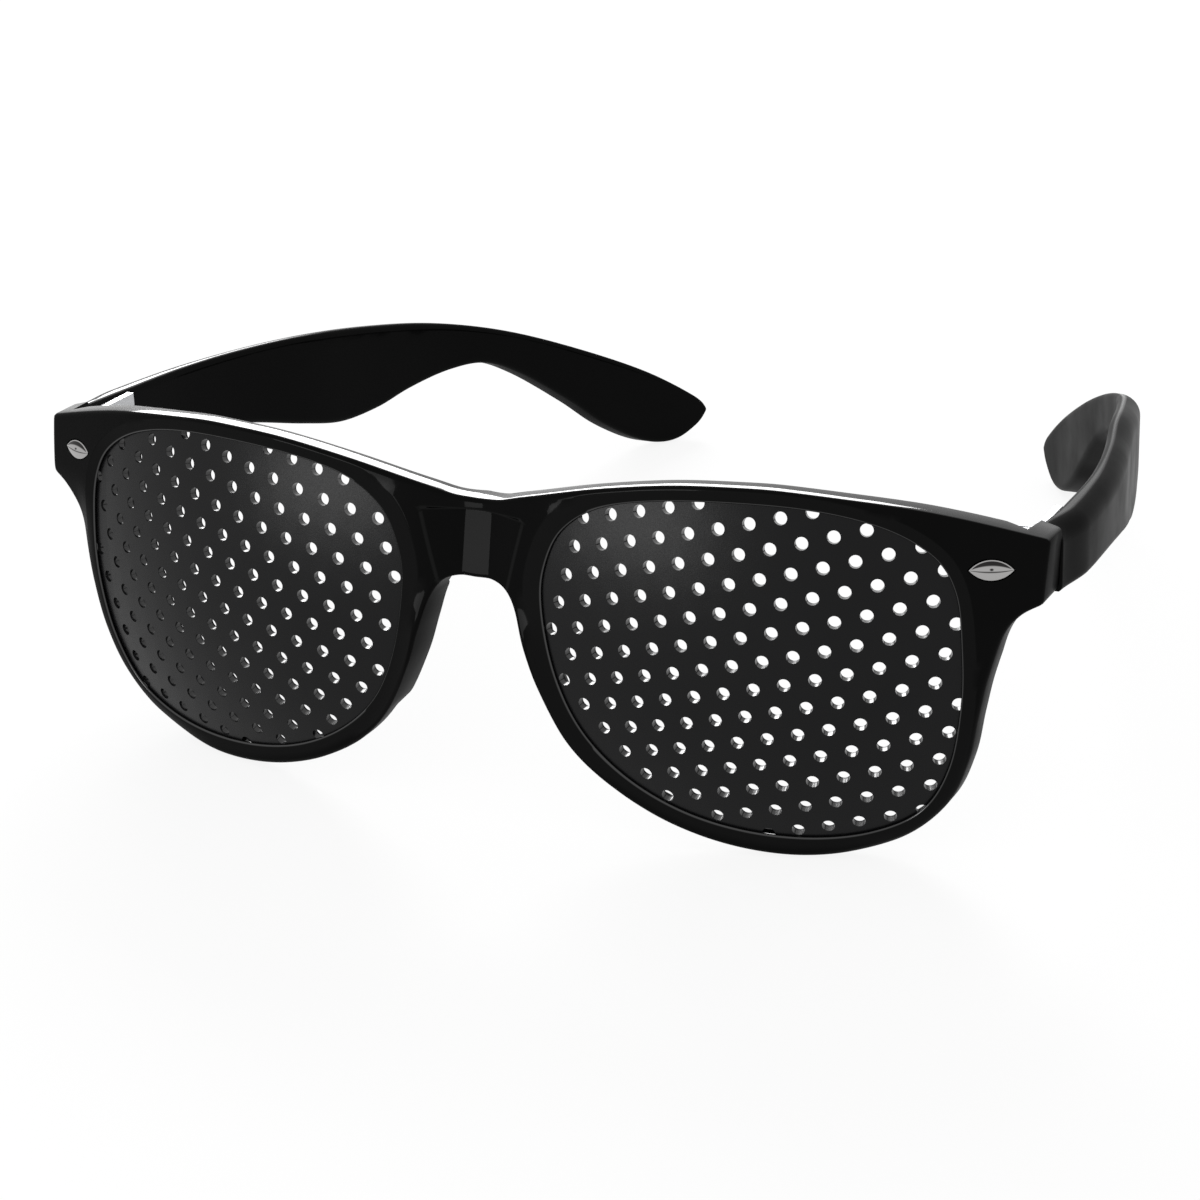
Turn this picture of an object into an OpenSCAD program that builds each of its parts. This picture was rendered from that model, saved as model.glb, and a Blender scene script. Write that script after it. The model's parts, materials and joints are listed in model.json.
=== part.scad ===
// Novelty pinhole glasses: a glossy moulded front with two perforated plates
// in place of lenses, and two temples on small three-knuckle hinges.
// Everything is drawn in the frame of the front (X to the wearer's left, Y to
// the back, Z up, origin between the plates) and then set down at rest.

/* [Front] */
// Half the width of the front at its upper corners
front_half_w = 72.2; // [71.8:0.1:73]
// Radius of the curved face of each rim
face_r = 84; // [80:1:90]
// Distance of each rim's centre of curvature from the middle
face_x = 24.8; // [23:0.2:27]
// Height of the centre of curvature above the middle of the plates
face_z = -2; // [-4:0.5:0]
// How far the curved face stands before the middle of the plates
face_lead = 1.5; // [1:0.1:2]
// Distance from the middle where each rim's face starts to run straight to its corner
straight_from_x = 58; // [57:0.5:60]
// Depth of a rim from front to back
rim_depth = 3.0; // [3:0.1:3.6]
// Depth of the upper corners, from the face to the temples
corner_depth = 5.4; // [5:0.1:5.8]
// Depth of the bridge from front to back
bridge_depth = 5.0; // [4.6:0.1:5.6]
// Half the width of the thick part of the bridge
bridge_half_w = 8.5; // [7:0.5:9]
// Height of the thick part of the bridge above the middle of the plates
bridge_top_z = 12.4; // [11:0.1:13]
// Depth of the nose pads and their rim together
pad_depth = 5.8; // [5:0.1:6.5]
// Radius of a nose pad seen from the front
pad_r = 9.5; // [8:0.5:10]
// Half the width of the flat facet in the middle of the bridge
facet_half_w = 1.9; // [1.6:0.1:2.2]
// Slope of the sides that rise from the bridge facet to the rims
facet_side_slope = 18.4; // [16:0.2:20]
// Distance of the bridge facet behind the middle of the plates, at its foot
facet_y = 2.1; // [1.9:0.1:2.3]
// Height of the bridge facet's foot above the middle of the plates
facet_foot_z = 4; // [3:0.5:4.5]
// Height of the bridge facet from its foot to its upper edge
facet_h = 9.4; // [8.5:0.1:10]
// Backward lean of the bridge facet
facet_lean = 9; // [8:0.5:10]

/* [Pinhole plates] */
// Thickness of a plate
plate_t = 1.1; // [1:0.05:1.2]
// Width of the rim's lip before the plate
lip_t = 0.9; // [0.8:0.05:1]
// How far a plate reaches under the rim
plate_reach = 1.2; // [1.1:0.1:1.4]
// Free space round the edge of a plate
plate_gap = 0.1; // [0.05:0.05:0.15]
// Diameter of a pinhole
hole_d = 1.65; // [1.4:0.05:1.8]
// Distance between neighbouring pinholes
hole_pitch = 3.92; // [3.8:0.02:4.2]
// Turn of the rows of holes
hole_turn = 13.1; // [10:0.1:16]

/* [Temples] */
// Length of a temple along the depth of the glasses
temple_l = 122.65; // [112:0.5:132]
// Thickness of a temple at the hinge
temple_root_t = 3.8; // [3.7:0.1:4]
// Thickness of a temple along its middle
temple_mid_t = 3.2; // [3:0.1:3.5]
// Thickness of a temple at its ear end
temple_tip_t = 3.4; // [3:0.1:3.8]
// Gap between the front and an open temple
fold_gap = 0.3; // [0.2:0.05:0.35]

/* [Hinges] */
// Distance of each hinge axis inside the side of the front
hinge_inset = 4.9; // [4.7:0.1:5.1]
// Distance of each hinge axis inside the inner face of its temple
temple_inset = 1.7; // [1.6:0.1:1.8]
// Distance of each hinge axis behind the seat of its front leaf
hinge_stand = 3.7; // [3.5:0.1:4]
// Height of the hinge's middle above the middle of the plates
hinge_z = 11.6; // [11.4:0.1:11.8]
// Outer diameter of a knuckle
knuckle_d = 2.6; // [2.4:0.1:2.6]
// Height of the three knuckles together
knuckle_stack = 5.0; // [4.8:0.1:5.2]
// Diameter of the hinge screw's shank
pin_d = 1.36; // [1.3:0.02:1.4]
// Clearance round the hinge screw in the turning knuckle
pin_clearance = 0.05; // [0.03:0.01:0.08]
// Free height between two knuckles
knuckle_gap = 0.12; // [0.1:0.01:0.15]
// Thickness of a hinge leaf
leaf_t = 1.0; // [0.9:0.1:1]
// Height of a hinge leaf
leaf_h = 6.0; // [5.6:0.1:6.2]
// Reach of a temple leaf behind the hinge axis
temple_leaf_reach = 9.0; // [8.8:0.1:9.4]
// Diameter of a leaf screw's shank
leaf_screw_d = 1.0; // [0.8:0.1:1.1]
// Length of a leaf screw's shank
leaf_screw_l = 3.0; // [2.6:0.1:3.2]

/* [Corner plates] */
// Length of the almond-shaped plate on each front corner
almond_l = 5.4; // [5:0.1:5.8]
// Height of the almond-shaped plate
almond_h = 2.5; // [2.2:0.1:2.8]
// Thickness of the almond-shaped plate
almond_t = 0.7; // [0.6:0.05:0.8]
// How deep the almond-shaped plate is let into the front
almond_sink = 0.4; // [0.3:0.05:0.45]

/* [Hidden] */
$fn = 64;
black = "#131315";
plate_grey = "#26272b";
chrome = "#c9c9cc";
steel = "#9a9b9e";

// Half width of the front that its outlines below were drawn for
drawn_half_w = 72.2;
// Points of the lower edge of the front, from the bridge to the corner (x, z)
rim_low = [42.5, -27.8];
lower_edge = [
    [0, 4.7], [2.6, 4.7], [4.6, 3.9], [6.2, 1.5], [7.6, -2.8], [9.4, -8], [12.9, -14.8],
    [17.7, -20], [23.8, -23.8], [30, -26.2], [36.2, -27.5], rim_low, [49.2, -27],
    [55.8, -24.3], [60.8, -19.4], [63.4, -13.4], [64.6, -7.4], [65.6, -2.1], [67, 3],
    [69, 5.9], [71.6, 7.4]
];
// Points of the upper edge of the front, from the corner to the bridge (x, z)
upper_edge = [
    [71.9, 15.2], [61.6, 17.9], [53.5, 19.5], [43, 20.7], [36, 20.9], [27, 20.4],
    [17, 18.75], [7.2, 16.3], [3.2, 15.2], [0, 14.9]
];
// Points of the opening in a rim, up the nose side and back underneath (x, z)
nose_corner = [15, -13.2];
opening_edge = [
    [10.1, 2.7], [10.6, 8.2], [13.2, 13.2], [19.1, 16.8], [29.5, 18.6], [42.8, 18.7],
    [52.5, 16.9], [58.9, 13.4], [61.8, 8.8], [62.7, 2], [62.7, -5.5], [61.2, -14],
    [57.8, -20.2], [52, -23.5], [44.6, -24.9], [36, -24.6], [27.8, -22.6],
    [20.5, -18.7], nose_corner, [11.7, -6]
];
// Length of a temple that its outlines below were drawn for
drawn_temple_l = 122.65;
// Stretch of a temple that the hinge leaf lies on and that keeps its length
leaf_zone = 8.65;
// Points of a temple's middle line seen from above, from its root (x, y)
temple_plan = [
    [0, 0], [0, leaf_zone], [-0.9, 22.25], [-3.2, 35.65], [-6.5, 49.15], [-9.6, 62.65],
    [-13.3, 75.65], [-18.7, 87.95], [-25.3, 99.85], [-32.3, 112.25], [-38.9, 122.65]
];
// Points of a temple's upper edge seen from the side, from its root (y, z)
temple_end = [122.55, -29.8];
temple_top = [
    [0, 3.9], [leaf_zone, 3.4], [22.25, 2.8], [35.65, 2.1], [49.05, 0.9], [62.45, -1.3],
    [75.65, -4.2], [87.95, -8.2], [99.65, -13.6], [112.25, -20.6], [120.65, -27.1],
    temple_end
];
// Points of a temple's lower edge seen from the side, from its end back (y, z)
temple_foot = [117.2, -33.8];
temple_bottom = [
    temple_end, [120.9, -31.9], temple_foot, [112.25, -32.9], [105.65, -28.7],
    [99.65, -23.3], [91.65, -16.7], [85.15, -13], [78.65, -12.3], [69.65, -13.1],
    [62.45, -14.3], [54.65, -14.4], [46.65, -12.7], [35.65, -9.5], [22.25, -6.4],
    [leaf_zone, -5.2], [0, -4.8]
];
// Where a temple's thickness starts and stops changing from root to middle
thin_from_y = 11.65;
thin_to_y = 31.65;
// Where the hole grid of each plate starts
left_grid_start = [3.37, 6.22];
right_grid_start = [4.23, 13.75];
// How far beyond the rim's opening a hole may still have its middle
hole_overlap = 0.2;
// Rows of the hole grid to each side of its start
grid_reach = 13;
// Points drawn for each span of an outline
span_steps = 3;
// Size of the blocks that outlines are cut from
block = 160;
// Small length by which cutting shapes pass the surfaces they cut
over = 1;
// Place of each rim's centre of curvature
face_centre = [face_x, face_r - face_lead, face_z];
// Turn at which each rim's face runs straight, and how far its straight part lies back
straight_turn = asin((straight_from_x - face_x) / face_r);
straight_set_back = 0.05;
// How far before the facet the trough between the rims is cut
trough_reach = 4;
// Half width, lead and depth of the bar that carries the bridge facet
bridge_bar_half_w = 4;
bridge_bar_lead = 1;
bridge_bar_depth = 4;
// Distance of each plate's middle from the middle of the glasses
plate_mid_x = 35;
// Turn of each plate about its centre of curvature
plate_turn = atan((plate_mid_x - face_x) / face_centre[1]);
// Rear plane of the corners, the hinge axis and the front plane of the open temples
corner_back_y = behind_face(front_half_w, hinge_z, 0) + corner_depth;
hinge_x = front_half_w - hinge_inset;
hinge_y = corner_back_y + fold_gap / 2;
temple_start_y = corner_back_y + fold_gap;
// Inner face of a temple at its root, and the middle of its thickness there
temple_face_x = hinge_x + temple_inset;
temple_root_x = temple_face_x + temple_root_t / 2;
// The pocket that the hinge stands in, and the boss under its front leaf
pocket_y = hinge_y - hinge_stand;
pocket_x = hinge_x + 1.6;
boss_x = hinge_x - 4.6;
boss_margin = 0.6;
// Heights of the three knuckles
knuckle_h = (knuckle_stack - 2 * knuckle_gap) / 3;
knuckle_z = hinge_z - knuckle_stack / 2;
// The temple leaf's near end and its screws
temple_leaf_gap = 0.4;
temple_screw_y = [hinge_y + 4.2, hinge_y + 7.2];
// The front leaf's near end and its screws
front_leaf_x = hinge_x - 4.4;
front_screw_x = hinge_x - 3.0;
front_screw_rise = 1.6;
front_screw_z = [hinge_z - front_screw_rise, hinge_z + front_screw_rise];
// Heads and slots of the screws
leaf_head_d = 1.9;
leaf_head_h = 0.45;
pin_head_d = 2.2;
pin_head_h = 0.6;
slot_w = 0.35;
slot_depth = 0.25;
// Place of the almond-shaped plate's middle, seen from the front
almond_x = front_half_w - 6.4;
almond_z = hinge_z + 0.2;
// Radius of the rounded face across the almond-shaped plate
dome_r = 3.2;
// Middle of the round nose pad, seen from the front
nose_pad_middle = [9.2, -6.2];
// Points that touch the table, on the back of a rim and under an ear end (y, z)
rim_foot = [behind_face(rim_low[0], rim_low[1], rim_depth), rim_low[1]];
ear_foot = [temple_start_y + lengthened(temple_foot[0]), hinge_z + temple_foot[1]];
// Turn and height that set the drawn glasses down on the table
rest_turn = atan((ear_foot[1] - rim_foot[1]) / (ear_foot[0] - rim_foot[0]));
rest_lift = ear_foot[0] * sin(rest_turn) - ear_foot[1] * cos(rest_turn);
// Middle between the foremost point of a rim and the rearmost point of an ear end
ear_end = [temple_start_y + lengthened(temple_end[0]), hinge_z + temple_end[1]];
foremost = [behind_face(nose_corner[0], nose_corner[1], 0), nose_corner[1]];
rest_forward = ((foremost[0] + ear_end[0]) * cos(rest_turn)
    + (foremost[1] + ear_end[1]) * sin(rest_turn)) / 2;

function spline(a, b, c, d, t) =
    0.5 * (2 * b + (c - a) * t + (2 * a - 5 * b + 4 * c - d) * t * t
    + (3 * b - a - 3 * c + d) * t * t * t);

function open_curve(p, n = span_steps) = [
    for (i = [0 : len(p) - 2])
        for (k = [0 : n - 1])
            spline(p[max(i - 1, 0)], p[i], p[i + 1], p[min(i + 2, len(p) - 1)], k / n),
    p[len(p) - 1]
];

function closed_curve(p, n = span_steps) = let (m = len(p)) [
    for (i = [0 : m - 1])
        for (k = [0 : n - 1])
            spline(p[(i + m - 1) % m], p[i], p[(i + 1) % m], p[(i + 2) % m], k / n)
];

// Moves each point of a clockwise closed curve outwards by d
function grown(p, d) = let (m = len(p)) [
    for (i = [0 : m - 1])
        let (way = p[(i + 1) % m] - p[(i + m - 1) % m])
            p[i] + d * [-way[1], way[0]] / norm(way)
];

// Side line of an open curve at the distances given by widths
function beside(p, widths, sign) = let (m = len(p)) [
    for (i = [0 : m - 1])
        let (way = p[min(i + 1, m - 1)] - p[max(i - 1, 0)])
            p[i] + sign * widths[i] / 2 * [way[1], -way[0]] / norm(way)
];

// Depth at which a shell's surface lies behind the middle of the plates: on its sphere,
// and past the turn where it runs straight, on its cylinder
function behind_face(x, z, depth) =
    let (
        out = x - face_x,
        reach = pow(face_r - depth, 2) - pow(z - face_z, 2),
        on_sphere = -sqrt(reach - out * out),
        on_straight = (out * sin(straight_turn) - sqrt(reach)) / cos(straight_turn)
    )
        face_centre[1] + (out * cos(straight_turn) + on_sphere * sin(straight_turn) > 0
            ? on_straight : on_sphere);

// Moves the outer part of a drawn outline so that its corner keeps to the front's width
function widened(p) = [
    for (q = p)
        [q[0] + max(q[0] - plate_mid_x, 0) * (front_half_w - drawn_half_w)
            / (drawn_half_w - plate_mid_x), q[1]]
];

// Moves a place along the drawn temple so that its end keeps to the temple's length
function lengthened(y) =
    y + max(y - leaf_zone, 0) * (temple_l - drawn_temple_l) / (drawn_temple_l - leaf_zone);

function turned_back(p) = [for (i = [len(p) - 1 : -1 : 0]) p[i]];

// True when point q lies within the closed curve p
function within(p, q) = let (m = len(p)) len([
    for (i = [0 : m - 1])
        let (a = p[i], b = p[(i + 1) % m])
            if ((a[1] > q[1]) != (b[1] > q[1])
                && q[0] < a[0] + (b[0] - a[0]) * (q[1] - a[1]) / (b[1] - a[1])) 1
]) % 2 == 1;

half_outline = widened(concat(open_curve(lower_edge), open_curve(upper_edge)));
opening = widened(closed_curve(opening_edge));

// Sets the drawn glasses down on the table
module at_rest() {
    translate([0, -rest_forward, rest_lift]) rotate([-rest_turn, 0, 0]) children();
}

module mirrored_side() {
    mirror([1, 0, 0]) children();
}

// Stands an (x, z) outline up and gives it depth along Y
module upright(points) {
    rotate([90, 0, 0]) linear_extrude(block, center = true) polygon(points);
}

// A body whose front is a rim's face: a sphere that runs straight on to the corner
module bowl(r) {
    sphere(r, $fn = 128);
    rotate([0, 90, straight_turn]) cylinder(r = r - straight_set_back, h = block, $fn = 128);
}

// A piece of one side's curved shell, between two depths behind its face
module shell(from, to) {
    translate(face_centre) difference() {
        bowl(face_r - from);
        bowl(face_r - to);
    }
}

// One side of the front, without its bores and pockets
module front_half() {
    intersection() {
        upright(half_outline);
        union() {
            shell(0, rim_depth);
            intersection() {
                shell(0, bridge_depth);
                translate([0, -block / 2, 0]) cube([bridge_half_w, block, bridge_top_z]);
            }
            nose_pad();
            end_piece();
        }
    }
}

module nose_pad() {
    intersection() {
        shell(0, pad_depth);
        translate([nose_pad_middle[0], block / 2, nose_pad_middle[1]])
            rotate([90, 0, 0]) cylinder(r = pad_r, h = block);
        difference() {
            translate([0, -block / 2, -block / 2]) cube(block);
            upright(grown(opening, plate_reach));
        }
    }
}

// The corner behind the face that the temple closes on and the leaf screws go in
module end_piece() {
    intersection() {
        translate(face_centre) bowl(face_r);
        union() {
            translate([pocket_x, 0, 0])
                cube([front_half_w - pocket_x, corner_back_y, block]);
            translate([boss_x, 0, hinge_z - leaf_h / 2 - boss_margin])
                cube([pocket_x - boss_x + over, pocket_y, leaf_h + 2 * boss_margin]);
        }
    }
}

module on_facet() {
    translate([0, facet_y, facet_foot_z]) rotate([-facet_lean, 0, 0]) children();
}

// The shallow trough between the rims, with the flat facet as its floor
module bridge_facet() {
    flare = trough_reach / tan(facet_side_slope);
    on_facet() translate([0, 0, -facet_foot_z]) linear_extrude(facet_foot_z + facet_h)
        polygon([
            [-facet_half_w, 0], [facet_half_w, 0],
            [facet_half_w + flare, -trough_reach], [-facet_half_w - flare, -trough_reach]
        ]);
}

// The bar that closes the valley between the two curved sides of the bridge
module bridge_bar() {
    intersection() {
        union() {
            upright(half_outline);
            mirrored_side() upright(half_outline);
        }
        on_facet() translate([-bridge_bar_half_w, -bridge_bar_lead, -block / 2])
            cube([2 * bridge_bar_half_w, bridge_bar_depth, block]);
    }
}

module front_cuts() {
    upright(opening);
    intersection() {
        upright(grown(opening, plate_reach + plate_gap));
        shell(lip_t, lip_t + plate_t);
    }
    translate([0, pocket_y, 0]) cube([pocket_x, block, block]);
    translate([pocket_x - over, corner_back_y, 0]) cube(block);
    for (z = front_screw_z) front_leaf_screw_bore(z);
    almond_place() almond(-almond_sink, block);
}

module front_leaf_screw_bore(z) {
    translate([front_screw_x, pocket_y + over, z]) rotate([90, 0, 0])
        cylinder(d = leaf_screw_d, h = leaf_screw_l - leaf_t + over);
}

module front_frame() {
    color(black) at_rest() difference() {
        union() {
            front_half();
            mirrored_side() front_half();
            bridge_bar();
        }
        front_cuts();
        mirrored_side() front_cuts();
        bridge_facet();
    }
}

// A curved plate with its grid of pinholes
module pinhole_plate(start) {
    r_out = face_r - lip_t;
    hole_limit = grown(opening, hole_overlap);
    color(plate_grey) difference() {
        intersection() {
            upright(grown(opening, plate_reach));
            shell(lip_t, lip_t + plate_t);
        }
        for (i = [-grid_reach : grid_reach])
            for (j = [-grid_reach : grid_reach])
                let (
                    grid = hole_pitch * [i - j / 2, -j * sqrt(3) / 2],
                    u = grid[0] * cos(hole_turn) - grid[1] * sin(hole_turn) + start[0],
                    v = grid[0] * sin(hole_turn) + grid[1] * cos(hole_turn) + start[1],
                    rise = v - face_z,
                    s = sqrt(max(r_out * r_out - u * u - rise * rise, 1)),
                    x = face_x + u * cos(plate_turn) + s * sin(plate_turn)
                )
                    if (within(hole_limit, [x, v])) translate(face_centre)
                        rotate([0, acos(rise / r_out), plate_turn + atan2(-s, u)])
                            translate([0, 0, r_out - plate_t - over])
                                cylinder(d = hole_d, h = plate_t + 2 * over);
    }
}

module left_pinhole_plate() {
    at_rest() pinhole_plate(left_grid_start);
}

module right_pinhole_plate() {
    at_rest() mirrored_side() pinhole_plate(right_grid_start);
}

// Drawn temple points with their places along it fitted to the temple's length
function fitted_plan(p) = [for (q = p) [q[0], lengthened(q[1])]];

function fitted_side(p) = [for (q = p) [lengthened(q[0]), q[1]]];

// A temple: its curve from above, cut to its outline from the side
module temple() {
    line = fitted_plan(open_curve(temple_plan));
    widths = [for (q = line) temple_thickness(q[1])];
    side = fitted_side(concat(open_curve(temple_top), open_curve(temple_bottom)));
    color(black) difference() {
        intersection() {
            translate([temple_root_x, temple_start_y, 0]) linear_extrude(block, center = true)
                polygon(concat(beside(line, widths, 1), turned_back(beside(line, widths, -1))));
            translate([0, temple_start_y, hinge_z]) rotate([90, 0, 90])
                linear_extrude(block) polygon(side);
        }
        for (y = temple_screw_y) temple_leaf_screw_bore(y);
    }
}

function temple_thickness(y) =
    y < thin_from_y ? temple_root_t
    : y < thin_to_y
        ? temple_root_t + (temple_mid_t - temple_root_t) * (y - thin_from_y) / (thin_to_y - thin_from_y)
    : temple_mid_t + (temple_tip_t - temple_mid_t) * (y - thin_to_y) / (temple_l - thin_to_y);

module temple_leaf_screw_bore(y) {
    translate([temple_face_x - over, y, hinge_z]) rotate([0, 90, 0])
        cylinder(d = leaf_screw_d, h = leaf_screw_l - leaf_t + over);
}

module left_temple() {
    at_rest() temple();
}

module right_temple() {
    at_rest() mirrored_side() temple();
}

// Puts an almond drawn flat on the straight part of the front's face, facing outwards
module almond_place() {
    rise = almond_z - face_z;
    out = almond_x - face_x - sqrt(face_r * face_r - rise * rise) * sin(straight_turn);
    translate(face_centre) rotate([0, 0, straight_turn])
        translate([out / cos(straight_turn), 0, 0]) rotate([-asin(rise / face_r), 0, 0])
            translate([0, straight_set_back - face_r, 0]) rotate([90, 0, 0]) children();
}

// Two equal arcs that meet in points, from one height to another
module almond(from, to) {
    half_l = almond_l / 2;
    half_h = almond_h / 2;
    arc_r = (half_l * half_l + half_h * half_h) / (2 * half_h);
    intersection() {
        translate([0, half_h - arc_r, from]) cylinder(r = arc_r, h = to - from);
        translate([0, arc_r - half_h, from]) cylinder(r = arc_r, h = to - from);
    }
}

module corner_plate() {
    color(chrome) almond_place() intersection() {
        almond(-almond_sink, almond_t);
        translate([-almond_l, 0, almond_t - almond_sink - dome_r])
            rotate([0, 90, 0]) cylinder(r = dome_r, h = 2 * almond_l);
    }
}

module left_corner_plate() {
    at_rest() corner_plate();
}

module right_corner_plate() {
    at_rest() mirrored_side() corner_plate();
}

function knuckle_start(index) = knuckle_z + index * (knuckle_h + knuckle_gap);

module knuckle(index) {
    translate([hinge_x, hinge_y, knuckle_start(index)]) cylinder(d = knuckle_d, h = knuckle_h);
}

// The flat leaf screwed behind the corner, with the outer two knuckles
module front_hinge_leaf() {
    color(steel) difference() {
        union() {
            translate([front_leaf_x, pocket_y, hinge_z - leaf_h / 2])
                cube([hinge_x + knuckle_d / 2 - front_leaf_x, leaf_t, leaf_h]);
            for (index = [0, 2]) {
                translate([hinge_x - knuckle_d / 2, pocket_y, knuckle_start(index)])
                    cube([knuckle_d, hinge_y - pocket_y, knuckle_h]);
                knuckle(index);
            }
        }
        translate([hinge_x, hinge_y, knuckle_z - over]) cylinder(d = pin_d, h = 2 * knuckle_stack);
        for (z = front_screw_z) translate([front_screw_x, pocket_y + leaf_t + over, z])
            rotate([90, 0, 0]) cylinder(d = leaf_screw_d, h = leaf_t + 2 * over);
    }
}

module left_front_hinge_leaf() {
    at_rest() front_hinge_leaf();
}

module right_front_hinge_leaf() {
    at_rest() mirrored_side() front_hinge_leaf();
}

// The flat leaf screwed inside the temple, with the middle knuckle
module temple_hinge_leaf() {
    bore_d = pin_d + 2 * pin_clearance;
    near_y = hinge_y + knuckle_d / 2 + temple_leaf_gap;
    inner_x = temple_face_x - leaf_t;
    color(steel) difference() {
        union() {
            translate([inner_x, near_y, hinge_z - leaf_h / 2])
                cube([leaf_t, hinge_y + temple_leaf_reach - near_y, leaf_h]);
            translate([inner_x, hinge_y, knuckle_start(1)])
                cube([leaf_t, near_y - hinge_y + over, knuckle_h]);
            knuckle(1);
        }
        translate([hinge_x, hinge_y, knuckle_z]) cylinder(d = bore_d, h = knuckle_stack);
        for (y = temple_screw_y) translate([inner_x - over, y, hinge_z])
            rotate([0, 90, 0]) cylinder(d = leaf_screw_d, h = leaf_t + 2 * over);
    }
}

module left_temple_hinge_leaf() {
    at_rest() temple_hinge_leaf();
}

module right_temple_hinge_leaf() {
    at_rest() mirrored_side() temple_hinge_leaf();
}

// A slotted screw that points down, with the underside of its head at zero
module slotted_screw(shank_d, shank_l, head_d, head_h) {
    difference() {
        union() {
            translate([0, 0, -shank_l]) cylinder(d = shank_d, h = shank_l);
            cylinder(d = head_d, h = head_h);
        }
        translate([-head_d, -slot_w / 2, head_h - slot_depth])
            cube([2 * head_d, slot_w, slot_depth + over]);
    }
}

module hinge_screw() {
    color(steel) translate([hinge_x, hinge_y, knuckle_z + knuckle_stack])
        slotted_screw(pin_d, knuckle_stack, pin_head_d, pin_head_h);
}

module left_hinge_screw() {
    at_rest() hinge_screw();
}

module right_hinge_screw() {
    at_rest() mirrored_side() hinge_screw();
}

module front_leaf_screws() {
    color(steel) for (z = front_screw_z)
        translate([front_screw_x, pocket_y + leaf_t, z]) rotate([-90, 0, 0])
            slotted_screw(leaf_screw_d, leaf_screw_l, leaf_head_d, leaf_head_h);
}

module left_front_leaf_screws() {
    at_rest() front_leaf_screws();
}

module right_front_leaf_screws() {
    at_rest() mirrored_side() front_leaf_screws();
}

module temple_leaf_screws() {
    color(steel) for (y = temple_screw_y)
        translate([temple_face_x - leaf_t, y, hinge_z]) rotate([0, -90, 0])
            slotted_screw(leaf_screw_d, leaf_screw_l, leaf_head_d, leaf_head_h);
}

module left_temple_leaf_screws() {
    at_rest() temple_leaf_screws();
}

module right_temple_leaf_screws() {
    at_rest() mirrored_side() temple_leaf_screws();
}

front_frame();
left_pinhole_plate();
right_pinhole_plate();
left_temple();
right_temple();
left_corner_plate();
right_corner_plate();
left_front_hinge_leaf();
right_front_hinge_leaf();
left_temple_hinge_leaf();
right_temple_hinge_leaf();
left_hinge_screw();
right_hinge_screw();
left_front_leaf_screws();
right_front_leaf_screws();
left_temple_leaf_screws();
right_temple_leaf_screws();
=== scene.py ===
# %% [markdown]
# # Pinhole glasses
# The object is a pair of black moulded glasses. Two curved plates full of small holes
# stand in place of lenses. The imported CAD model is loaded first: it holds every piece at
# its true size and place, and the pieces made below are fitted to it.

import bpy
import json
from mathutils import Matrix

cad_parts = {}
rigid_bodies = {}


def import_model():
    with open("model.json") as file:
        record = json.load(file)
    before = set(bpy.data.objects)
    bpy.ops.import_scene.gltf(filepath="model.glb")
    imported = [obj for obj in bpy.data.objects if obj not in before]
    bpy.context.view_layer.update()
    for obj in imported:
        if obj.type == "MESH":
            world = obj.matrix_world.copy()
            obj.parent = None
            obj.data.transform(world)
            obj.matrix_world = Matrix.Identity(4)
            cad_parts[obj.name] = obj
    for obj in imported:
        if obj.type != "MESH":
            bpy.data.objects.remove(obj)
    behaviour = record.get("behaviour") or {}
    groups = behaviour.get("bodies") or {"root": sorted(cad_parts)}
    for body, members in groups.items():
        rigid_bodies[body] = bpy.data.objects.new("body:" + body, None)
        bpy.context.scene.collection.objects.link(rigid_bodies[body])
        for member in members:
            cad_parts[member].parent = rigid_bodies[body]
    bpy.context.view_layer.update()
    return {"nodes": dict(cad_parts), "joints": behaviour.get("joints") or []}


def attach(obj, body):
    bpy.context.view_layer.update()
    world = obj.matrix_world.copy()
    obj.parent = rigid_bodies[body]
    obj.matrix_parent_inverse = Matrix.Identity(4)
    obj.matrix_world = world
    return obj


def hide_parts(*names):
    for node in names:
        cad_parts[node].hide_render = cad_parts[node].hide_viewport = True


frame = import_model()

import json
import math

import bpy
import numpy as np
from mathutils import Matrix
from mathutils.geometry import delaunay_2d_cdt

# %% [markdown]
# ## The drawing frame
# The maker's drawing has its origin between the two plates, X to the wearer's left, Y to
# the back and Z up. The finished glasses rest on their rims and ear ends, so the drawing
# is turned a little and lifted. Working in the drawing keeps every number readable.

# %% From the drawing to the table
hinge_joint = frame["joints"][0]
rest_turn = math.acos(hinge_joint["axis"][2])
rest_lift = 28.1143
rest_forward = 69.6123


def on_table(points):
    """Drawn points in mm to the table in metres: y' = y cos t + z sin t - forward,
    z' = -y sin t + z cos t + lift, with t the resting turn."""
    p = np.asarray(points, float)
    c, s = math.cos(rest_turn), math.sin(rest_turn)
    y = p[..., 1] * c + p[..., 2] * s - rest_forward
    z = -p[..., 1] * s + p[..., 2] * c + rest_lift
    return np.stack([p[..., 0], y, z], -1) / 1000


print("resting turn in degrees", round(math.degrees(rest_turn), 3))

# %% [markdown]
# ## The camera
# The photograph was taken from the wearer's left and a little above, with a long lens from
# about 40 cm. The angles were found from the two grids of holes, which are known patterns
# on known curves, so the camera here stands where the photographer's did.

# %% The camera
view_turn, view_height, view_roll = 26.649, 21.260, -2.062
view_distance, focal_in_pixels = 378.81, 2988.76
aside, below = -16.549, -2.276
sensor_mm, photo_pixels = 36, 1200


def camera_axes():
    """Right, up and forward of the camera in the drawing, from its turn, height and roll."""
    a, e, r = np.radians([view_turn, view_height, view_roll])
    back = np.array([np.sin(a) * np.cos(e), -np.cos(a) * np.cos(e), np.sin(e)])
    right = np.cross(-back, [0, 0, 1])
    right /= np.linalg.norm(right)
    up = np.cross(right, -back)
    c, s = np.cos(r), np.sin(r)
    return np.array([c * right + s * up, -s * right + c * up, -back])


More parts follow.
